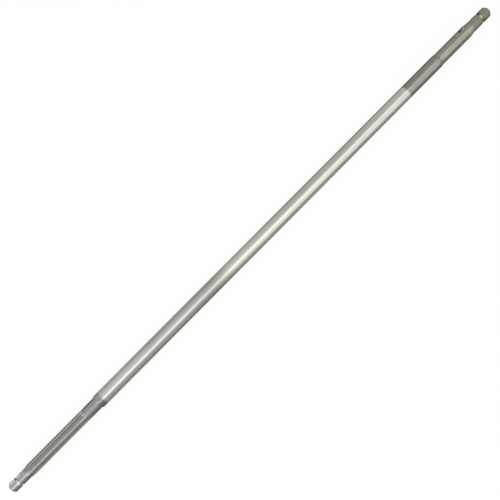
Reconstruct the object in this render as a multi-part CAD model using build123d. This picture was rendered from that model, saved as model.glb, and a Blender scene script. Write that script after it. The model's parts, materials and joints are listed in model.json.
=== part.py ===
from build123d import *
import math
import os

# Jackshaft: one steel bar turned down at both ends, splined at one end and keyed at the other.
# Sizes are in millimetres and angles in degrees. The axis lies along X, the splined end
# towards -X, and the origin is on the axis in the middle of the bearing seat by the spline.

# Bar between the turned ends, and the cones that lead down from it
bar_diameter = 25.4
bar_length = 838.8
shoulder_cone_length = 3.2
hub_cone_length = 6.0

# Involute spline with a flat root, and the bearing seat behind it
tooth_count = 13
tooth_module = 25.4 / 16
pressure_angle = 30.0
tooth_thinning = 0.06
tip_relief = 0.2
root_clearance = 0.1
spline_length = 143.8
lead_in_length = 12.2
cutter_diameter = 50.0
cutter_exit_land = 5.1
bearing_seat_length = 21.2

# Pilot, ring groove and stub outside the spline
pilot_clearance = 0.05
pilot_length = 14.9
splined_groove_width = 4.3
splined_groove_depth = 2.05
splined_groove_corner = 1.3
splined_stub_length = 14.9
splined_end_chamfer_length = 2.2
splined_end_chamfer_height = 1.8

# Hub seat with its keyseat
hub_seat_diameter = 23.8125
hub_seat_length = 72.4
key_disc_diameter = 15.88
key_width = 3.97
keyseat_depth = 4.36
keyseat_to_seat_end = 7.6

# Journal, ring groove and stub outside the hub seat
end_cone_length = 11.2
journal_diameter = 21.0
journal_length = 20.6
keyed_groove_width = 6.2
keyed_groove_depth = 1.7
keyed_groove_corner = 0.8
keyed_stub_length = 17.6
keyed_end_chamfer_length = 4.0
keyed_end_chamfer_height = 3.2

# Centre hole in each end face, for turning between centres
centre_mouth_diameter = 8.5
centre_drill_diameter = 4.0
centre_drill_length = 4.6
centre_cone_angle = 60.0
drill_point_angle = 118.0

# Turn of the keyseat, and of the tooth gap in line with it, from +Y towards +Z
keyseat_turn = 51.0

# How far a cut runs past the surface that it starts from
overcut = 1.0

# Spline radii
pitch_radius = tooth_count * tooth_module / 2
base_radius = pitch_radius * math.cos(math.radians(pressure_angle))
bearing_seat_radius = pitch_radius + tooth_module / 2
tip_radius = bearing_seat_radius - tip_relief
root_radius = pitch_radius - tooth_module / 2 - root_clearance * tooth_module / 2
pilot_radius = root_radius - pilot_clearance

# Places along the axis, outwards from the bearing seat
spline_end = -bearing_seat_length / 2
spline_start = spline_end - spline_length
pilot_start = spline_start - pilot_length
splined_groove_start = pilot_start - splined_groove_width
splined_face = splined_groove_start - splined_stub_length
bar_start = bearing_seat_length / 2 + shoulder_cone_length
bar_end = bar_start + bar_length
hub_seat_start = bar_end + hub_cone_length
hub_seat_end = hub_seat_start + hub_seat_length
journal_start = hub_seat_end + end_cone_length
keyed_groove_start = journal_start + journal_length
keyed_stub_start = keyed_groove_start + keyed_groove_width
keyed_face = keyed_stub_start + keyed_stub_length


def turned_bar():
    """The bar as it leaves the lathe, before grooves, teeth and keyseat."""
    bar_radius = bar_diameter / 2
    hub_seat_radius = hub_seat_diameter / 2
    journal_radius = journal_diameter / 2
    outline = Polyline(
        (splined_face, 0),
        (splined_face, pilot_radius - splined_end_chamfer_height),
        (splined_face + splined_end_chamfer_length, pilot_radius),
        (spline_start, pilot_radius),
        (spline_start + lead_in_length, tip_radius),
        (spline_end, tip_radius),
        (spline_end, bearing_seat_radius),
        (bearing_seat_length / 2, bearing_seat_radius),
        (bar_start, bar_radius),
        (bar_end, bar_radius),
        (hub_seat_start, hub_seat_radius),
        (hub_seat_end, hub_seat_radius),
        (journal_start, journal_radius),
        (keyed_face - keyed_end_chamfer_length, journal_radius),
        (keyed_face, journal_radius - keyed_end_chamfer_height),
        (keyed_face, 0),
        close=True,
    )
    return revolve(make_face(outline), Axis.X)


def ring_groove(start, width, depth, corner, outer_radius):
    """A groove turned round the bar, with a rounded corner between each wall and the floor."""
    floor = outer_radius - depth
    rim = outer_radius + overcut
    corner = min(corner, 0.49 * width, 0.9 * depth)
    section = Polyline(
        (start, rim),
        (start, floor),
        (start + width, floor),
        (start + width, rim),
        close=True,
    )
    face = make_face(section)
    face = fillet(face.vertices().sort_by(Axis.Y)[:2], corner)
    return revolve(face, Axis.X)


def centre_hole(face, inwards):
    """A drilled centre: a cone at the mouth, then a short hole with a drill point."""
    mouth = centre_mouth_diameter / 2
    drill = centre_drill_diameter / 2
    cone_length = (mouth - drill) / math.tan(math.radians(centre_cone_angle / 2))
    point_length = drill / math.tan(math.radians(drill_point_angle / 2))
    cone_end = face + inwards * cone_length
    drill_end = cone_end + inwards * centre_drill_length
    outline = Polyline(
        (face, 0),
        (face, mouth),
        (cone_end, drill),
        (drill_end, drill),
        (drill_end + inwards * point_length, 0),
        close=True,
    )
    return revolve(make_face(outline), Axis.X)


def involute(radius):
    """Involute function, in radians, at a radius; a flank runs straight in below the base circle."""
    pressure = math.acos(min(1.0, base_radius / radius))
    return math.tan(pressure) - pressure


def flank_point(radius, side):
    """A point on one flank of the tooth gap that opens towards the section's own Y."""
    half_gap_at_pitch = math.pi / (2 * tooth_count) + tooth_thinning / (2 * pitch_radius)
    half_gap = half_gap_at_pitch + involute(radius) - involute(pitch_radius)
    return (side * radius * math.sin(half_gap), radius * math.cos(half_gap))


def gap_section(place):
    """Cross-section of one tooth gap: root arc, two involute flanks and an open top."""
    top_radius = tip_radius + overcut
    middle_radius = (root_radius + top_radius) / 2
    edges = [
        ThreePointArc(flank_point(root_radius, side), flank_point(middle_radius, side), flank_point(top_radius, side))
        for side in (-1, 1)
    ]
    edges.append(ThreePointArc(flank_point(root_radius, -1), (0, root_radius), flank_point(root_radius, 1)))
    edges.append(Line(flank_point(top_radius, -1), flank_point(top_radius, 1)))
    plane = Plane(origin=(place, 0, 0), x_dir=(0, 1, 0), z_dir=(1, 0, 0))
    return plane * make_face(edges)


def tooth_gap():
    """One gap between teeth, cut straight from the pilot end and run out by the round of the cutter."""
    cutter_radius = cutter_diameter / 2
    exit_angle = math.acos(1 - (tip_radius - root_radius) / cutter_radius)
    run_out_start = spline_end - cutter_exit_land - cutter_radius * math.sin(exit_angle)
    section = gap_section(run_out_start)
    straight = extrude(section, amount=run_out_start - spline_start + overcut, dir=(-1, 0, 0))
    cutter_axis = Axis((run_out_start, 0, root_radius + cutter_radius), (0, -1, 0))
    run_out = revolve(section, cutter_axis, revolution_arc=2 * math.degrees(exit_angle))
    return straight + run_out


def tooth_gaps():
    """All the gaps round the axis, placed so that one of them lines up with the keyseat."""
    gap = tooth_gap()
    pitch = 360 / tooth_count
    return [Rot(X=keyseat_turn - 90 + index * pitch) * gap for index in range(tooth_count)]


def keyseat():
    """Half-round seat for a disc key, sunk by a cutter as wide as the key."""
    disc_height = hub_seat_diameter / 2 - keyseat_depth + key_disc_diameter / 2
    disc = Cylinder(key_disc_diameter / 2, key_width, rotation=(90, 0, 0))
    disc = Pos(hub_seat_end - keyseat_to_seat_end, 0, disc_height) * disc
    return Rot(X=keyseat_turn - 90) * disc


def jackshaft():
    """The finished shaft, one solid."""
    shaft = turned_bar()
    shaft -= ring_groove(
        splined_groove_start, splined_groove_width, splined_groove_depth, splined_groove_corner, pilot_radius
    )
    shaft -= ring_groove(
        keyed_groove_start, keyed_groove_width, keyed_groove_depth, keyed_groove_corner, journal_diameter / 2
    )
    shaft -= centre_hole(splined_face, 1)
    shaft -= centre_hole(keyed_face, -1)
    shaft -= keyseat()
    shaft -= tooth_gaps()
    return shaft


os.makedirs("parts", exist_ok=True)
export_step(jackshaft(), "parts/jackshaft.step")
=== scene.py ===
import json
import math
from collections import namedtuple

import bmesh
import bpy
from mathutils import Matrix, Quaternion, Vector


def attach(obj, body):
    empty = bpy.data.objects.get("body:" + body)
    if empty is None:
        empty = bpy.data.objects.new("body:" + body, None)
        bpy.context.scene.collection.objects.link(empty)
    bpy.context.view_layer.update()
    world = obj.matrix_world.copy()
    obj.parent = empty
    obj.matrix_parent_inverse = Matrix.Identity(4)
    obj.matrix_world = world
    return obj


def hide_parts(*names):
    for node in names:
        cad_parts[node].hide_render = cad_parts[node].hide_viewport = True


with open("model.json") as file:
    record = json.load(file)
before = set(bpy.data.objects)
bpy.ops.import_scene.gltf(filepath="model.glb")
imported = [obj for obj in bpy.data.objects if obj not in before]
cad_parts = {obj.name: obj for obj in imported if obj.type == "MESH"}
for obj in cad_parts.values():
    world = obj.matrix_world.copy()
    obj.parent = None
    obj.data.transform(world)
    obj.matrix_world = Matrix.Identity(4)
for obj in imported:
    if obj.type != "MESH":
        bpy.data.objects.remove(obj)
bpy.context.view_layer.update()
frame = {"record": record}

# One millimetre, in metres
MM = 0.001


# Sizes of the shaft, in millimetres. What a mount states is read from the record.

def mount(name):
    """A mount of the record by its name."""
    return next(item for item in frame["record"]["mounts"] if item["name"] == name)


def mount_radius(name):
    return mount(name)["dims"]["r_mm"]


def mount_length(name):
    return mount(name)["dims"]["length_mm"]


TOOTH_COUNT = 13
TOOTH_MODULE = 25.4 / 16
PRESSURE_ANGLE = math.radians(30)
TOOTH_THINNING = 0.06
TIP_RELIEF = 0.2
ROOT_CLEARANCE = 0.1
TIP_ROUND = 0.15
ROOT_FILLET = 0.3
SPLINE_LENGTH = 143.8
LEAD_IN_LENGTH = 12.2
CUTTER_RADIUS = 50.0 / 2
CUTTER_EXIT_LAND = 5.1

PILOT_CLEARANCE = 0.05
PILOT_LENGTH = 14.9
SPLINED_GROOVE = {"width": 4.3, "depth": 2.05, "corner": 1.3}
SPLINED_STUB_LENGTH = 14.9
SPLINED_CHAMFER = {"length": 2.2, "height": 1.8}

SHOULDER_CONE_LENGTH = 3.2
HUB_CONE_LENGTH = 6.0
END_CONE_LENGTH = 11.2
KEYED_GROOVE = {"width": 6.2, "depth": 1.7, "corner": 0.8}
KEYED_STUB_LENGTH = 17.6
KEYED_CHAMFER = {"length": 4.0, "height": 3.2}

KEY_DISC_RADIUS = 15.88 / 2
KEY_WIDTH = 3.97
KEYSEAT_DEPTH = 4.36
KEYSEAT_TO_SEAT_END = 7.6
KEYSEAT_TURN = math.radians(51)

CENTRE_MOUTH_RADIUS = 8.5 / 2
CENTRE_DRILL_RADIUS = 4.0 / 2
CENTRE_DRILL_LENGTH = 4.6
CENTRE_CONE_ANGLE = math.radians(60)
DRILL_POINT_ANGLE = math.radians(118)

SEAT_RADIUS = mount_radius("bearing_seat")
BAR_RADIUS = mount_radius("bar_journal")
HUB_RADIUS = mount_radius("hub_seat")
JOURNAL_RADIUS = mount_radius("end_journal")

PITCH_RADIUS = TOOTH_COUNT * TOOTH_MODULE / 2
BASE_RADIUS = PITCH_RADIUS * math.cos(PRESSURE_ANGLE)
TIP_RADIUS = SEAT_RADIUS - TIP_RELIEF
ROOT_RADIUS = PITCH_RADIUS - (1 + ROOT_CLEARANCE) * TOOTH_MODULE / 2
PILOT_RADIUS = ROOT_RADIUS - PILOT_CLEARANCE
HALF_PITCH = math.pi / TOOTH_COUNT

# Places along the axis, from the middle of the bearing seat
SPLINE_END = -mount_length("bearing_seat") / 2
SPLINE_START = SPLINE_END - SPLINE_LENGTH
PILOT_START = SPLINE_START - PILOT_LENGTH
SPLINED_GROOVE_START = PILOT_START - SPLINED_GROOVE["width"]
SPLINED_FACE = SPLINED_GROOVE_START - SPLINED_STUB_LENGTH
SEAT_END = mount_length("bearing_seat") / 2
BAR_START = SEAT_END + SHOULDER_CONE_LENGTH
BAR_END = BAR_START + mount_length("bar_journal")
HUB_START = BAR_END + HUB_CONE_LENGTH
HUB_END = HUB_START + mount_length("hub_seat")
JOURNAL_START = HUB_END + END_CONE_LENGTH
KEYED_GROOVE_START = JOURNAL_START + mount_length("end_journal")
KEYED_STUB_START = KEYED_GROOVE_START + KEYED_GROOVE["width"]
KEYED_FACE = KEYED_STUB_START + KEYED_STUB_LENGTH
EXIT_ANGLE = math.acos(1 - (TIP_RADIUS - ROOT_RADIUS) / CUTTER_RADIUS)
RUN_OUT_START = SPLINE_END - CUTTER_EXIT_LAND - CUTTER_RADIUS * math.sin(EXIT_ANGLE)

# Where the finish changes along the bar
POLISH_START = BAR_START + 9.7
POLISH_END = BAR_END - 79.4


# Turned outline: small rounds on its corners, in millimetres, and how it is drawn
GROOVE_RIM_ROUND = 0.25
DRILL_ROUND = 0.1
MOUTH_ROUND = 0.12
ROUND_STEP = math.radians(9)
LONGEST_ROUND_SHARE = 0.45
LAST_STEP_SHARE = 1.5


def groove_corners(start, outer, groove):
    """Corners of a ring groove, each as place, radius and rounding."""
    floor = outer - groove["depth"]
    end = start + groove["width"]
    return [
        (start, outer, GROOVE_RIM_ROUND),
        (start, floor, groove["corner"]),
        (end, floor, groove["corner"]),
        (end, outer, GROOVE_RIM_ROUND),
    ]


def centre_corners(face, inwards):
    """Corners of a centre hole, from the drill point out to the mouth."""
    cone = (CENTRE_MOUTH_RADIUS - CENTRE_DRILL_RADIUS) / math.tan(CENTRE_CONE_ANGLE / 2)
    point = CENTRE_DRILL_RADIUS / math.tan(DRILL_POINT_ANGLE / 2)
    cone_end = face + inwards * cone
    drill_end = cone_end + inwards * CENTRE_DRILL_LENGTH
    return [
        (drill_end + inwards * point, 0, 0),
        (drill_end, CENTRE_DRILL_RADIUS, DRILL_ROUND),
        (cone_end, CENTRE_DRILL_RADIUS, DRILL_ROUND),
        (face, CENTRE_MOUTH_RADIUS, MOUTH_ROUND),
    ]


def outline_corners():
    """Corners of the whole outline, from one end's drill point to the other's."""
    return [
        *centre_corners(SPLINED_FACE, 1),
        (SPLINED_FACE, PILOT_RADIUS - SPLINED_CHAMFER["height"], 0.3),
        (SPLINED_FACE + SPLINED_CHAMFER["length"], PILOT_RADIUS, 0.5),
        *groove_corners(SPLINED_GROOVE_START, PILOT_RADIUS, SPLINED_GROOVE),
        (SPLINE_START, PILOT_RADIUS, 3.0),
        (SPLINE_START + LEAD_IN_LENGTH, TIP_RADIUS, 12.0),
        (SPLINE_END, TIP_RADIUS, 0.05),
        (SPLINE_END, SEAT_RADIUS, 0.08),
        (SEAT_END, SEAT_RADIUS, 1.0),
        (BAR_START, BAR_RADIUS, 1.0),
        (BAR_END, BAR_RADIUS, 1.5),
        (HUB_START, HUB_RADIUS, 1.5),
        (HUB_END, HUB_RADIUS, 4.0),
        (JOURNAL_START, JOURNAL_RADIUS, 4.0),
        *groove_corners(KEYED_GROOVE_START, JOURNAL_RADIUS, KEYED_GROOVE),
        (KEYED_FACE - KEYED_CHAMFER["length"], JOURNAL_RADIUS, 1.5),
        (KEYED_FACE, JOURNAL_RADIUS - KEYED_CHAMFER["height"], 0.4),
        *reversed(centre_corners(KEYED_FACE, -1)),
    ]


def rounded(before, corner, after, radius):
    """Points of the curve that rounds a corner, no longer than its two runs allow."""
    if radius == 0:
        return [corner]
    to_before, to_after = before - corner, after - corner
    half_turn = (math.pi - to_before.angle(to_after)) / 2
    shorter = min(LONGEST_ROUND_SHARE * to_before.length, LONGEST_ROUND_SHARE * to_after.length)
    reach = min(radius * math.tan(half_turn), shorter)
    start = corner + to_before.normalized() * reach
    end = corner + to_after.normalized() * reach
    steps = max(2, math.ceil(half_turn / ROUND_STEP))
    points = []
    for step in range(steps + 1):
        share = step / steps
        points.append((1 - share) ** 2 * start + 2 * share * (1 - share) * corner + share ** 2 * end)
    return points


def ring_step(place):
    """Step between rings on a long run, in millimetres: short where the gaps begin and where they run out."""
    if place < SPLINE_START or place > HUB_END:
        return 4.0
    if place < SPLINE_START + 1.5 * LEAD_IN_LENGTH:
        return 1.5
    if RUN_OUT_START - 2 < place < SPLINE_END:
        return 0.8
    if place < SPLINE_END or place > HUB_END - 20:
        return 5.0
    return 14.0


def turned_outline():
    """Outline points with rounded corners and enough rings on the long runs."""
    corners = outline_corners()
    flat = [Vector((place, radius)) for place, radius, _ in corners]
    points = [flat[0]]
    for index in range(1, len(corners) - 1):
        points += rounded(flat[index - 1], flat[index], flat[index + 1], corners[index][2])
    points.append(flat[-1])
    filled = [points[0]]
    for point in points[1:]:
        while (point - filled[-1]).length > LAST_STEP_SHARE * ring_step(filled[-1].x):
            step = ring_step(filled[-1].x)
            filled.append(filled[-1] + (point - filled[-1]).normalized() * step)
        filled.append(point)
    return filled


# Spline teeth: steps along the floor, flank and tip of half a gap and half a tooth
FLOOR_STEPS = 2
FLANK_STEPS = 4
TIP_STEPS = 3
HALF_STEPS = FLOOR_STEPS + FLANK_STEPS + TIP_STEPS


def involute(radius):
    pressure = math.acos(min(1.0, BASE_RADIUS / radius))
    return math.tan(pressure) - pressure


def half_gap(radius):
    """Half the angle of the gap between two teeth at a radius."""
    at_pitch = math.pi / (2 * TOOTH_COUNT) + TOOTH_THINNING / (2 * PITCH_RADIUS)
    return at_pitch + involute(radius) - involute(PITCH_RADIUS)


def cutter_lift(place):
    """How far the round of the cutter has lifted the gap's floor at a place."""
    past = max(0.0, place - RUN_OUT_START)
    if past > CUTTER_RADIUS * math.sin(EXIT_ANGLE):
        return TIP_RADIUS
    return CUTTER_RADIUS - math.sqrt(CUTTER_RADIUS ** 2 - past ** 2)


def half_section(place, outer):
    """Angle and radius of each point from the middle of a gap to the middle of a tooth."""
    lift = cutter_lift(place)
    floor = ROOT_RADIUS + lift
    if outer <= floor:
        return [(HALF_PITCH * step / HALF_STEPS, outer) for step in range(HALF_STEPS + 1)]
    depth = outer - floor

    def flank_angle(radius):
        own = radius - lift
        gap = half_gap(own)
        return math.atan2(own * math.sin(gap), own * math.cos(gap) + lift)

    fillet = min(ROOT_FILLET, 0.3 * depth)
    tip_round = min(TIP_ROUND, 0.25 * depth)
    foot_angle = flank_angle(floor)
    points = [(0.0, floor), (foot_angle - fillet / floor, floor)]
    points.append((foot_angle - 0.25 * fillet / floor, floor + 0.25 * fillet))
    low, high = floor + fillet, outer - tip_round
    for step in range(FLANK_STEPS):
        radius = low + (high - low) * step / (FLANK_STEPS - 1)
        points.append((flank_angle(radius), radius))
    edge_angle = flank_angle(outer)
    points.append((edge_angle + 0.3 * tip_round / outer, outer - 0.3 * tip_round))
    points.append((edge_angle + tip_round / outer, outer))
    points.append((HALF_PITCH, outer))
    return points


def sector_ring(place, outer):
    """One ring of points across a pitch, from tooth middle to tooth middle, in metres."""
    if outer == 0:
        return [Vector((place, 0, 0)) * MM]
    half = half_section(place, outer)
    both = [(-angle, radius) for angle, radius in reversed(half[1:])] + half
    return [
        Vector((place, radius * math.sin(angle), radius * math.cos(angle))) * MM
        for angle, radius in both
    ]


def sector_mesh():
    """One pitch of the whole shaft, from end to end, with a gap of the spline along its middle."""
    mesh = bpy.data.meshes.new("shaft_sector")
    points, faces, last = [], [], None
    for station in turned_outline():
        ring = sector_ring(station.x, station.y)
        now = list(range(len(points), len(points) + len(ring)))
        points += ring
        if last is not None:
            for step in range(2 * HALF_STEPS):
                if len(last) == 1:
                    faces.append((last[0], now[step], now[step + 1]))
                elif len(now) == 1:
                    faces.append((last[step], now[0], last[step + 1]))
                else:
                    faces.append((last[step], now[step], now[step + 1], last[step + 1]))
        last = now
    mesh.from_pydata(points, [], faces)
    return mesh


def repeat_tree(steel):
    """Node tree that turns one pitch of the shaft about X, once for each tooth, and joins the copies."""
    tree = bpy.data.node_groups.new("repeat_round_axis", "GeometryNodeTree")
    sockets = tree.interface
    sockets.new_socket("Geometry", in_out="INPUT", socket_type="NodeSocketGeometry")
    sockets.new_socket("Tooth Count", in_out="INPUT", socket_type="NodeSocketInt").default_value = 6
    sockets.new_socket("First Turn", in_out="INPUT", socket_type="NodeSocketFloat")
    sockets.new_socket("Join Distance", in_out="INPUT", socket_type="NodeSocketFloat").default_value = 1e-6
    sockets.new_socket("Geometry", in_out="OUTPUT", socket_type="NodeSocketGeometry")
    node = {
        name: tree.nodes.new(kind)
        for name, kind in {
            "in": "NodeGroupInput",
            "out": "NodeGroupOutput",
            "places": "GeometryNodeMeshLine",
            "index": "GeometryNodeInputIndex",
            "pitch": "ShaderNodeMath",
            "turn": "ShaderNodeMath",
            "rotation": "ShaderNodeCombineXYZ",
            "copies": "GeometryNodeInstanceOnPoints",
            "real": "GeometryNodeRealizeInstances",
            "join": "GeometryNodeMergeByDistance",
            "finish": "GeometryNodeSetMaterial",
        }.items()
    }
    node["pitch"].operation = "DIVIDE"
    node["pitch"].inputs[0].default_value = 2 * math.pi
    node["turn"].operation = "MULTIPLY_ADD"
    node["places"].inputs["Offset"].default_value = (0, 0, 0)
    node["finish"].inputs["Material"].default_value = steel
    link = tree.links.new
    link(node["in"].outputs["Tooth Count"], node["places"].inputs["Count"])
    link(node["in"].outputs["Tooth Count"], node["pitch"].inputs[1])
    link(node["index"].outputs[0], node["turn"].inputs[0])
    link(node["pitch"].outputs[0], node["turn"].inputs[1])
    link(node["in"].outputs["First Turn"], node["turn"].inputs[2])
    link(node["turn"].outputs[0], node["rotation"].inputs["X"])
    link(node["places"].outputs["Mesh"], node["copies"].inputs["Points"])
    link(node["in"].outputs["Geometry"], node["copies"].inputs["Instance"])
    link(node["rotation"].outputs[0], node["copies"].inputs["Rotation"])
    link(node["copies"].outputs[0], node["real"].inputs[0])
    link(node["real"].outputs[0], node["join"].inputs["Geometry"])
    link(node["in"].outputs["Join Distance"], node["join"].inputs["Distance"])
    link(node["join"].outputs[0], node["finish"].inputs["Geometry"])
    link(node["finish"].outputs[0], node["out"].inputs[0])
    return tree


def set_inputs(modifier, **values):
    """Sets a node modifier's inputs by the identifiers of their sockets."""
    for item in modifier.node_group.interface.items_tree:
        name = item.name.replace(" ", "_")
        if item.item_type == "SOCKET" and item.in_out == "INPUT" and name in values:
            modifier[item.identifier] = values[name]


def plain_mesh(piece):
    """Turns a piece's modifiers into its own mesh."""
    bpy.context.view_layer.update()
    evaluated = piece.evaluated_get(bpy.context.evaluated_depsgraph_get())
    mesh = bpy.data.meshes.new_from_object(evaluated)
    piece.modifiers.clear()
    piece.data = mesh


def new_object(name, mesh):
    piece = bpy.data.objects.new(name, mesh)
    bpy.context.scene.collection.objects.link(piece)
    return piece


# Making the mesh: how near two points are joined, in metres, and the angle that leaves an edge sharp
PITCH_JOIN_DISTANCE = 2e-6
MESH_JOIN_DISTANCE = 1e-6
SHARP_ANGLE = math.radians(28)


def keyseat_cutter():
    """Disc of the size of the key, standing where it was sunk into the hub seat."""
    mesh = bpy.data.meshes.new("key_disc")
    shape = bmesh.new()
    radius = KEY_DISC_RADIUS * MM
    bmesh.ops.create_cone(
        shape, cap_ends=True, segments=96, radius1=radius, radius2=radius, depth=KEY_WIDTH * MM
    )
    height = HUB_RADIUS - KEYSEAT_DEPTH + KEY_DISC_RADIUS
    stand = Matrix.Rotation(math.pi / 2, 4, "X")
    place = Matrix.Translation(Vector((HUB_END - KEYSEAT_TO_SEAT_END, 0, height)) * MM)
    turn = Matrix.Rotation(KEYSEAT_TURN - math.pi / 2, 4, "X")
    bmesh.ops.transform(shape, matrix=turn @ place @ stand, verts=shape.verts)
    shape.to_mesh(mesh)
    shape.free()
    return new_object("key_disc", mesh)


def make_shaft(steel):
    """The shaft's visible mesh: repeated about the axis, cut by the key disc and shaded smooth."""
    shaft = new_object("jackshaft_surface", sector_mesh())
    repeat = shaft.modifiers.new("repeat", "NODES")
    repeat.node_group = repeat_tree(steel)
    first_turn = KEYSEAT_TURN - math.pi / 2
    set_inputs(repeat, Tooth_Count=TOOTH_COUNT, First_Turn=first_turn, Join_Distance=PITCH_JOIN_DISTANCE)
    plain_mesh(shaft)
    cutter = keyseat_cutter()
    cut = shaft.modifiers.new("keyseat", "BOOLEAN")
    cut.operation = "DIFFERENCE"
    cut.solver = "EXACT"
    cut.object = cutter
    plain_mesh(shaft)
    bpy.data.objects.remove(cutter)
    shaft.data.materials.clear()
    shaft.data.materials.append(steel)
    shape = bmesh.new()
    shape.from_mesh(shaft.data)
    bmesh.ops.remove_doubles(shape, verts=shape.verts, dist=MESH_JOIN_DISTANCE)
    bmesh.ops.recalc_face_normals(shape, faces=shape.faces)
    for face in shape.faces:
        face.smooth = True
        face.material_index = 0
    open_edges = sum(1 for edge in shape.edges if not edge.is_manifold)
    volume = round(shape.calc_volume(signed=True) / MM ** 3)
    shape.to_mesh(shaft.data)
    shape.free()
    shaft.data.set_sharp_from_angle(angle=SHARP_ANGLE)
    print("shaft", len(shaft.data.polygons), "faces,", open_edges, "open edges, volume mm3", volume)
    return shaft


# Steel

class Nodes:
    """Short way to add and join the nodes of one material."""

    def __init__(self, material):
        material.use_nodes = True
        self.tree = material.node_tree
        self.tree.nodes.clear()

    def put(self, socket, value):
        """Joins another node's output to a socket, or sets the socket itself."""
        if hasattr(value, "is_output"):
            self.tree.links.new(value, socket)
        else:
            socket.default_value = value

    def add(self, kind, **values):
        """Adds a node and fills its inputs by name, with an underscore for each space."""
        node = self.tree.nodes.new(kind)
        for name, value in values.items():
            self.put(node.inputs[name.replace("_", " ")], value)
        return node

    def math(self, operation, *values):
        node = self.tree.nodes.new("ShaderNodeMath")
        node.operation = operation
        for socket, value in zip(node.inputs, values):
            self.put(socket, value)
        return node.outputs[0]

    def product(self, first, *others):
        for other in others:
            first = self.math("MULTIPLY", first, other)
        return first

    def ramp(self, value, low, high, at_low=0.0, at_high=1.0):
        """Runs from one value to another as the input goes from low to high, and holds them outside."""
        return self.add(
            "ShaderNodeMapRange", Value=value, From_Min=low, From_Max=high, To_Min=at_low, To_Max=at_high
        ).outputs["Result"]

    def band(self, value, start, full, fading, end):
        """0 up to the start, 1 from full to fading, and 0 again from the end on."""
        return self.product(self.ramp(value, start, full), self.ramp(value, end, fading))

    def mix(self, share, first, second, blend="MIX"):
        """Mixes two colours; one that is given as numbers is red, green and blue."""
        node = self.tree.nodes.new("ShaderNodeMix")
        node.data_type = "RGBA"
        node.blend_type = blend
        self.put(node.inputs["Factor"], share)
        for name, value in (("A", first), ("B", second)):
            self.put(node.inputs[name], (*value, 1.0) if isinstance(value, tuple) else value)
        return node.outputs["Result"]

    def mix_value(self, share, first, second):
        return self.add("ShaderNodeMix", Factor=share, A=first, B=second).outputs["Result"]

    def tinted(self, share, colour, tint):
        """A colour multiplied by a tint, by a share from 0 to 1."""
        return self.mix(share, colour, self.mix(1.0, colour, tint, "MULTIPLY"))

    def shades(self, value, first, *others):
        """A colour that changes with the input; each change has a start, a full place and a colour."""
        colour = first
        for start, full, other in others:
            colour = self.mix(self.ramp(value, start, full), colour, other)
        return colour

    def noise(self, vector, scale, detail, roughness):
        return self.add(
            "ShaderNodeTexNoise", Vector=vector, Scale=scale, Detail=detail, Roughness=roughness
        ).outputs["Fac"]


class SteelNodes(Nodes):
    """Nodes of the steel, with X, Y and Z on the shaft in millimetres as place, across and height."""

    def __init__(self, material):
        super().__init__(material)
        self.where = self.add("ShaderNodeTexCoord").outputs["Object"]
        parts = self.add("ShaderNodeSeparateXYZ", Vector=self.where).outputs
        self.place, self.across, self.height = [self.math("DIVIDE", parts[axis], MM) for axis in "XYZ"]
        squares = [self.product(value, value) for value in (self.across, self.height)]
        self.radius = self.math("SQRT", self.math("ADD", *squares))

    def drawn_out(self, *scale):
        """Object coordinates pressed together along some axes, which draws a pattern out along them."""
        return self.add("ShaderNodeMapping", Vector=self.where, Scale=scale).outputs["Vector"]


# Where the polished bar's colour slowly turns darker, lighter and even again: painted light that follows how
# brightly the bar is lit along its length
BAR_PAINTED_DIMMER = 120.0
BAR_PAINTED_DIMMEST = 245.0
BAR_PAINTED_BRIGHTER = 312.0
BAR_EVEN = 430.0
BAR_LATE = 600.0
BAR_LAST = 700.0

Finish = namedtuple("Finish", "start softness plus_y minus_y roughness")

# Finish and painted light of the turned surface, from the splined end: where a stretch begins and how softly,
# its colour on the side of +Y and on the side of -Y, and its roughness. The two side colours paint light and
# shade on each side.
FINISHES_AND_PAINTED_LIGHT = [
    Finish(SPLINED_FACE, 0.5, (0.40, 0.395, 0.44), (0.238, 0.235, 0.234), 0.24),
    Finish(PILOT_START, 1.0, (0.368, 0.398, 0.415), (0.222, 0.22, 0.219), 0.24),
    Finish(SPLINE_START + 4.0, 4.0, (0.203, 0.198, 0.208), (0.225, 0.218, 0.197), 0.46),
    Finish(SPLINE_END - CUTTER_EXIT_LAND, 2.0, (0.25, 0.26, 0.272), (0.20, 0.196, 0.182), 0.42),
    Finish(SEAT_END + 1.5, 1.0, (0.26, 0.285, 0.28), (0.165, 0.165, 0.16), 0.3),
    Finish(POLISH_START, 1.2, (0.42, 0.42, 0.394), (0.40, 0.40, 0.37), 0.26),
    # Painted light: from here to the end of the polish the bar is darker and lighter as its highlight is
    # weaker and stronger
    Finish(BAR_PAINTED_DIMMER, 45.0, (0.36, 0.358, 0.327), (0.37, 0.366, 0.334), 0.26),
    Finish(BAR_PAINTED_DIMMEST, 40.0, (0.33, 0.326, 0.297), (0.312, 0.308, 0.28), 0.26),
    Finish(BAR_PAINTED_BRIGHTER, 22.0, (0.45, 0.445, 0.402), (0.418, 0.413, 0.372), 0.26),
    Finish(BAR_EVEN, 50.0, (0.40, 0.395, 0.356), (0.41, 0.405, 0.366), 0.26),
    Finish(BAR_LATE, 50.0, (0.397, 0.392, 0.354), (0.392, 0.387, 0.352), 0.26),
    Finish(BAR_LAST, 25.0, (0.432, 0.427, 0.386), (0.397, 0.392, 0.355), 0.26),
    Finish(POLISH_END, 1.5, (0.207, 0.204, 0.182), (0.215, 0.213, 0.193), 0.26),
    Finish(BAR_END + 2.0, 2.0, (0.243, 0.225, 0.206), (0.235, 0.217, 0.187), 0.2),
    # The hub seat's end and the cone after it, painted lighter towards -Y as a highlight
    Finish(HUB_END - 2.0, 2.0, (0.243, 0.225, 0.204), (0.315, 0.293, 0.25), 0.26),
    Finish(JOURNAL_START - 1.0, 1.5, (0.258, 0.237, 0.212), (0.205, 0.188, 0.157), 0.36),
]
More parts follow.
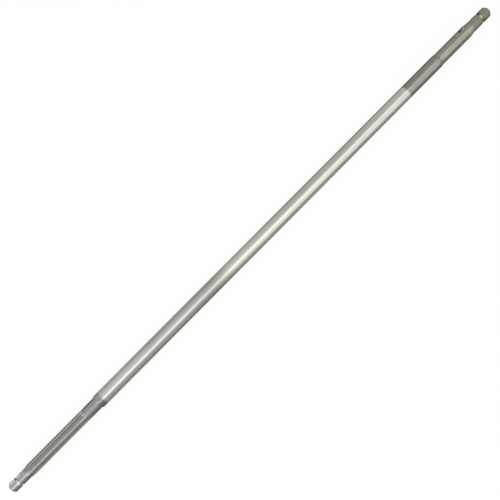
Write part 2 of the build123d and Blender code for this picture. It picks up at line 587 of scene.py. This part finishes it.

# Painted light and shade of what is cut into the shaft, with bright highlight lines and darker sides:
# the first colour, then where across the shaft each other one starts, where it is full, and its colour
FLANK_PAINTED_LIGHT = [
    (0.25, 0.245, 0.242),
    (-2.3, -2.1, (0.42, 0.41, 0.405)),
    (-1.3, -0.9, (0.215, 0.21, 0.212)),
    (3.0, 6.0, (0.14, 0.138, 0.14)),
    (-5.0, -7.5, (0.165, 0.16, 0.145)),
]
GAP_FLOOR_PAINTED_LIGHT = [
    (0.36, 0.352, 0.347),
    (-3.5, -5.5, (0.17, 0.165, 0.15)),
    (-1.5, 1.5, (0.31, 0.30, 0.31)),
    (3.0, 5.5, (0.30, 0.295, 0.305)),
]
RUN_OUT_PAINTED_HIGHLIGHT = [
    (0.40, 0.385, 0.39),
    (-0.5, 0.5, (0.53, 0.515, 0.54)),
    (3.0, 4.5, (0.42, 0.40, 0.43)),
]
# Painted light and shade across the keyed groove
KEYED_GROOVE_PAINTED_LIGHT = [
    (0.36, 0.335, 0.265),
    (-0.5, -3.5, (0.19, 0.18, 0.13)),
    (3.0, 5.0, (0.12, 0.12, 0.13)),
]
# Painted highlight: the keyseat is coloured lighter for the light on its far wall
KEYSEAT_HIGHLIGHT_COLOUR = (0.49, 0.475, 0.45)
# Painted shade in the splined groove, and a painted highlight on its wall
SPLINED_GROOVE_SHADE_COLOUR = (0.27, 0.275, 0.285)
GROOVE_WALL_HIGHLIGHT_COLOUR = (0.66, 0.66, 0.66)
KEYED_CHAMFER_COLOUR = (0.37, 0.37, 0.315)
# Painted highlight along the +Y edge of the splined stub and pilot
STUB_PAINTED_HIGHLIGHT_COLOUR = (0.71, 0.71, 0.75)
# Painted shade along the bearing seat's edge towards +Y
SEAT_PAINTED_SHADE_COLOUR = (0.14, 0.155, 0.16)
CUT_ROUGHNESS = 0.3

# What multiplies the steel's colour where it is marked, and where painted shade dims the end journal's top
# Painted shade on the top of the end journal
JOURNAL_TOP_SHADE_TINT = (0.78, 0.78, 0.78)
GREEN_TINT = (0.94, 1.0, 0.93)
RED_TINT = (1.0, 0.93, 0.93)
MOTTLE_TINT = (0.7, 0.69, 0.66)
LIGHTER_TINT = (2.0, 2.0, 2.0)
STAIN_TINT = (0.72, 0.7, 0.66)
LINE_TINT = (0.75, 0.75, 0.75)

# How fine the patterns of the steel are
TINT_SCALE = 45.0
STAIN_SCALE = 60.0
MOTTLE_SCALE = 260.0
BAND_SCALE = 700.0
STROKE_SCALE = 5000.0
LINE_SCALE = 9000.0
DRAWN_OUT = 0.02

# How strong they are, on the bright bar and at the dull ends, and how deep the lines are in metres
LINE_DARKENING = (0.05, 0.16)
UNEVEN_ROUGHNESS = (0.012, 0.03)
BUMP_STRENGTH = (0.06, 0.2)
BUMP_DEPTH = 0.00002


def turned_finish_and_painted_light(n):
    """Colour and roughness of the turned surface, stretch by stretch, with painted light and shade on the
    side of +Y and on the side of -Y.
    """
    first, *others = FINISHES_AND_PAINTED_LIGHT
    plus_y, minus_y, rough = first.plus_y, first.minus_y, first.roughness
    for finish in others:
        share = n.ramp(n.place, finish.start - finish.softness, finish.start + finish.softness)
        plus_y = n.mix(share, plus_y, finish.plus_y)
        minus_y = n.mix(share, minus_y, finish.minus_y)
        rough = n.mix_value(share, rough, finish.roughness)
    # Painted light and shade: blends the colour painted on the +Y side into the one painted on the -Y side
    return n.mix(n.ramp(n.across, 6.0, -5.0), plus_y, minus_y), rough


def with_painted_stub_highlight(n, colour):
    """Painted highlight on the stub and pilot at the splined end: lighter along their upper edge towards +Y.
    """
    edge = n.product(
        n.ramp(n.place, SPLINE_START - 3, SPLINE_START - 12),
        n.ramp(n.across, 4.5, 7.0),
        n.ramp(n.height, -2.5, 0.5),
    )
    return n.mix(edge, colour, STUB_PAINTED_HIGHLIGHT_COLOUR)


def with_cuts(n, colour):
    """The spline's gaps with their run-out, and the keyseat, with painted highlight lines and painted shade
    across the shaft; also says where the steel is cut.
    """
    in_gap = n.product(
        n.band(n.place, SPLINE_START, SPLINE_START + 3, SPLINE_END - 3, SPLINE_END),
        n.ramp(n.radius, TIP_RADIUS - 0.1, TIP_RADIUS - 0.5),
    )
    on_floor = n.product(in_gap, n.ramp(n.radius, ROOT_RADIUS + 0.5, ROOT_RADIUS + 0.2))
    in_keyseat = n.product(
        n.ramp(n.place, HUB_START, HUB_START + 3),
        n.ramp(n.radius, HUB_RADIUS - 0.2, HUB_RADIUS - 0.4),
        n.ramp(n.place, HUB_END + 0.2, HUB_END),
    )
    run_out_highlight = n.product(
        in_gap, n.ramp(n.place, RUN_OUT_START + 1, RUN_OUT_START + 4), n.ramp(n.across, -5.0, -3.0)
    )
    # Painted light: highlight lines and shade on the gaps' flanks and floors, and a painted highlight on the
    # run-out
    colour = n.mix(in_gap, colour, n.shades(n.across, *FLANK_PAINTED_LIGHT))
    colour = n.mix(on_floor, colour, n.shades(n.across, *GAP_FLOOR_PAINTED_LIGHT))
    # Painted highlight in the keyseat
    colour = n.mix(in_keyseat, colour, KEYSEAT_HIGHLIGHT_COLOUR)
    colour = n.mix(run_out_highlight, colour, n.shades(n.across, *RUN_OUT_PAINTED_HIGHLIGHT))
    return colour, n.math("MAXIMUM", in_gap, in_keyseat)


def with_edges(n, colour):
    """Painted shade along the bearing seat's edge towards +Y, painted shade that dims the top of the end
    journal, and the chamfer of the keyed end.
    """
    # Painted shade along the bearing seat's edge towards +Y
    seat_painted_shade = n.product(
        n.band(n.place, SPLINE_END - 4, SPLINE_END - 1, SEAT_END, SEAT_END + 3),
        n.ramp(n.across, 7.5, 9.5),
    )
    colour = n.mix(seat_painted_shade, colour, SEAT_PAINTED_SHADE_COLOUR)
    # Painted shade that dims the highlight on the top of the end journal
    journal_top_shade = n.product(
        n.band(n.across, -6.5, -3.5, 2.0, 5.0),
        n.ramp(n.place, JOURNAL_START - 1, JOURNAL_START + 1),
    )
    colour = n.tinted(journal_top_shade, colour, JOURNAL_TOP_SHADE_TINT)
    chamfer_start = KEYED_FACE - KEYED_CHAMFER["length"]
    return n.mix(n.ramp(n.place, chamfer_start, chamfer_start + 0.5), colour, KEYED_CHAMFER_COLOUR)


def groove_share(n, start, groove, outer):
    """1 on the walls and floor of a ring groove, 0 elsewhere."""
    end = start + groove["width"]
    inside = n.band(n.place, start - 0.3, start, end, end + 0.3)
    return n.product(inside, n.ramp(n.radius, outer - 0.05, outer - 0.3))


def with_grooves(n, colour):
    """The two ring grooves with painted light: the splined one darker, as painted shade, with a painted
    highlight on its wall; the keyed one with painted light and shade across it.
    """
    start = SPLINED_GROOVE_START
    share = groove_share(n, start, SPLINED_GROOVE, PILOT_RADIUS)
    # Painted shade in the splined groove
    colour = n.mix(share, colour, SPLINED_GROOVE_SHADE_COLOUR)
    wall = n.product(
        n.band(n.place, start - 0.7, start - 0.4, start + 1.5, start + 1.9),
        n.band(n.across, -7.5, -5.5, 3.5, 5.5),
    )
    # Painted highlight on the splined groove's wall
    colour = n.mix(wall, colour, GROOVE_WALL_HIGHLIGHT_COLOUR)
    # Painted light and shade across the keyed groove
    share = groove_share(n, KEYED_GROOVE_START, KEYED_GROOVE, JOURNAL_RADIUS)
    return n.mix(share, colour, n.shades(n.across, *KEYED_GROOVE_PAINTED_LIGHT))


def with_marks(n, colour, dull, lines):
    """Tints and mottling of the dull ends, faint stains everywhere and dark lines of the tool."""
    tint = n.mix(n.ramp(n.noise(n.where, TINT_SCALE, 2.0, 0.5), 0.35, 0.65), GREEN_TINT, RED_TINT)
    mottle = n.ramp(n.noise(n.where, MOTTLE_SCALE, 3.0, 0.65), 0.35, 0.65, 0.0, 0.5)
    stain = n.ramp(n.noise(n.where, STAIN_SCALE, 4.0, 0.6), 0.35, 0.75, 0.0, 0.22)
    line = n.ramp(lines, 0.3, 0.7, 0.0, n.mix_value(dull, *LINE_DARKENING))
    colour = n.tinted(n.product(dull, 0.6), colour, tint)
    colour = n.tinted(n.product(dull, mottle), colour, MOTTLE_TINT)
    colour = n.tinted(n.product(dull, 0.15), colour, LIGHTER_TINT)
    colour = n.tinted(stain, colour, STAIN_TINT)
    return n.tinted(line, colour, LINE_TINT)


def steel_material():
    """Turned and ground steel: bright bar, dull mottled ends and fine lines, with painted light and shade:
    lighter and darker sides, highlights on the cuts and grooves, shade in the grooves and on edges.
    """
    steel = bpy.data.materials.new("ground_steel")
    n = SteelNodes(steel)
    colour, rough = turned_finish_and_painted_light(n)
    colour = with_painted_stub_highlight(n, colour)
    colour, cut = with_cuts(n, colour)
    colour = with_edges(n, colour)
    colour = with_grooves(n, colour)
    rough = n.mix_value(cut, rough, CUT_ROUGHNESS)

    rings = n.drawn_out(1.0, DRAWN_OUT, DRAWN_OUT)
    strokes = n.drawn_out(DRAWN_OUT, 1.0, 1.0)
    turned_lines = n.noise(rings, LINE_SCALE, 2.0, 0.6)
    cut_lines = n.noise(strokes, STROKE_SCALE, 2.0, 0.6)
    lines = n.mix_value(cut, turned_lines, cut_lines)
    bands = n.noise(rings, BAND_SCALE, 2.0, 0.5)
    before_polish = n.ramp(n.place, POLISH_START, POLISH_START - 4)
    after_polish = n.ramp(n.place, POLISH_END, POLISH_END + 4)
    dull = n.math("MAXIMUM", before_polish, after_polish)
    colour = with_marks(n, colour, dull, lines)
    uneven = n.mix_value(dull, *UNEVEN_ROUGHNESS)
    for pattern in (bands, lines):
        rough = n.math("ADD", rough, n.product(uneven, n.ramp(pattern, 0.3, 0.7, -1.0, 1.0)))

    strength = n.mix_value(dull, *BUMP_STRENGTH)
    bump = n.add("ShaderNodeBump", Height=lines, Strength=strength, Distance=BUMP_DEPTH)
    shader = n.add(
        "ShaderNodeBsdfPrincipled", Base_Color=colour, Roughness=rough, Metallic=1.0,
        Specular_Tint=(0.4, 0.4, 0.4, 1.0), Normal=bump.outputs["Normal"],
    )
    n.add("ShaderNodeOutputMaterial", Surface=shader.outputs[0])
    return steel


# Floor, light and camera

FLOOR_HALF_WIDTH = 12.0

# Lamps: name, place along the axis, lean from overhead towards -Y and skew in degrees, distance, size
# along and across the shaft, and level, which is 1 where the lamp is as bright as white
LAMPS = [
    ("key_light", -0.15, 15.0, 15.0, 1.8, (2.7, 1.15), 1.16),
    ("right_light", 1.52, 1.0, 8.0, 1.8, (0.76, 1.0), 0.95),
    ("tail_light", 2.48, 21.0, 0.0, 1.8, (1.0, 0.7), 0.85),
    ("back_light", 0.0, -29.0, 0.0, 1.9, (1.2, 1.0), 0.3),
    ("side_light", 1.1, 46.0, 0.0, 1.6, (1.4, 1.2), 0.79),
    ("far_light", -2.4, -4.0, 0.0, 1.8, (1.2, 2.0), 3.0),
]

# Camera: picture width and focal length in pixels, direction and distance of the view, and what it aims at
FRAME_PIXELS = 500
FOCAL_PIXELS = 720.0
SENSOR_WIDTH = 36.0
VIEW_AZIMUTH = math.radians(-45.33)
VIEW_ELEVATION = math.radians(83.91)
VIEW_DISTANCE = 1.2511
AIM = Vector((378.13, -0.76, 0)) * MM


def floor_material():
    """Pale floor: white to the camera, a little darker in reflections towards -Y, with the shaft's shadow."""
    material = bpy.data.materials.new("pale_floor")
    n = Nodes(material)
    ray = n.add("ShaderNodeLightPath").outputs
    mirrored = n.math("MAXIMUM", ray["Is Glossy Ray"], ray["Is Transmission Ray"])
    seen = n.math("MAXIMUM", ray["Is Camera Ray"], mirrored)
    where = n.add("ShaderNodeSeparateXYZ", Vector=n.add("ShaderNodeTexCoord").outputs["Object"]).outputs
    dimmed = n.ramp(where["Y"], 0.05, -0.05, 0.75, n.ramp(where["X"], 0.3, 0.8, 0.55, 0.62))
    strength = n.mix_value(ray["Is Camera Ray"], dimmed, 1.0)
    matt = n.add("ShaderNodeBsdfDiffuse", Color=(0.68, 0.68, 0.68, 1))
    glow = n.add("ShaderNodeEmission", Color=(1, 1, 1, 1), Strength=strength)
    both = n.add("ShaderNodeMixShader")
    for socket, value in zip(both.inputs, (n.product(seen, 0.9), matt.outputs[0], glow.outputs[0])):
        n.put(socket, value)
    n.add("ShaderNodeOutputMaterial", Surface=both.outputs[0])
    return material


def make_floor():
    """Floor that the bar lies on."""
    half, height = FLOOR_HALF_WIDTH, -BAR_RADIUS * MM
    corners = [(-half, -half, height), (half, -half, height), (half, half, height), (-half, half, height)]
    mesh = bpy.data.meshes.new("floor")
    mesh.from_pydata(corners, [], [(0, 1, 2, 3)])
    mesh.materials.append(floor_material())
    floor = new_object("floor", mesh)


def make_world():
    """White studio, a little darker low down on the side towards -Y."""
    world = bpy.data.worlds.new("studio")
    bpy.context.scene.world = world
    n = Nodes(world)
    towards = n.add("ShaderNodeSeparateXYZ", Vector=n.add("ShaderNodeTexCoord").outputs["Generated"]).outputs
    dimmed = n.ramp(towards["Y"], -0.6, -1.0, 1.0, n.ramp(towards["X"], -0.1, 0.25, 0.7, 1.0))
    strength = n.mix_value(n.add("ShaderNodeLightPath").outputs["Is Camera Ray"], dimmed, 1.0)
    background = n.add("ShaderNodeBackground", Color=(1, 1, 1, 1), Strength=strength)
    n.add("ShaderNodeOutputWorld", Surface=background.outputs[0])


def make_softbox(name, place, lean, skew, distance, size, level):
    """Area lamp that faces the axis at a place along it."""
    data = bpy.data.lights.new(name, "AREA")
    data.shape = "RECTANGLE"
    data.size, data.size_y = size
    data.energy = 4 * size[0] * size[1] * level
    lamp = bpy.data.objects.new(name, data)
    outwards = Vector((0, -math.sin(math.radians(lean)), math.cos(math.radians(lean))))
    lamp.location = Vector((place, 0, 0)) + distance * outwards
    lamp.rotation_mode = "QUATERNION"
    lamp.rotation_quaternion = outwards.to_track_quat("Z", "Y") @ Quaternion((0, 0, 1), math.radians(skew))
    bpy.context.scene.collection.objects.link(lamp)


def make_camera():
    data = bpy.data.cameras.new("camera")
    data.sensor_width = SENSOR_WIDTH
    data.lens = SENSOR_WIDTH * FOCAL_PIXELS / FRAME_PIXELS
    data.clip_start, data.clip_end = 0.05, 60.0
    camera = bpy.data.objects.new("camera", data)
    back = Vector((
        math.sin(VIEW_AZIMUTH) * math.cos(VIEW_ELEVATION),
        -math.cos(VIEW_AZIMUTH) * math.cos(VIEW_ELEVATION),
        math.sin(VIEW_ELEVATION),
    ))
    camera.location = AIM + back * VIEW_DISTANCE
    camera.rotation_mode = "QUATERNION"
    camera.rotation_quaternion = (-back).to_track_quat("-Z", "Y")
    bpy.context.scene.collection.objects.link(camera)
    bpy.context.scene.camera = camera


bpy.context.scene.view_settings.view_transform = "Standard"
make_camera()
make_world()
make_floor()
for lamp_values in LAMPS:
    make_softbox(*lamp_values)

shaft = make_shaft(steel_material())
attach(shaft, "root")
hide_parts("jackshaft")
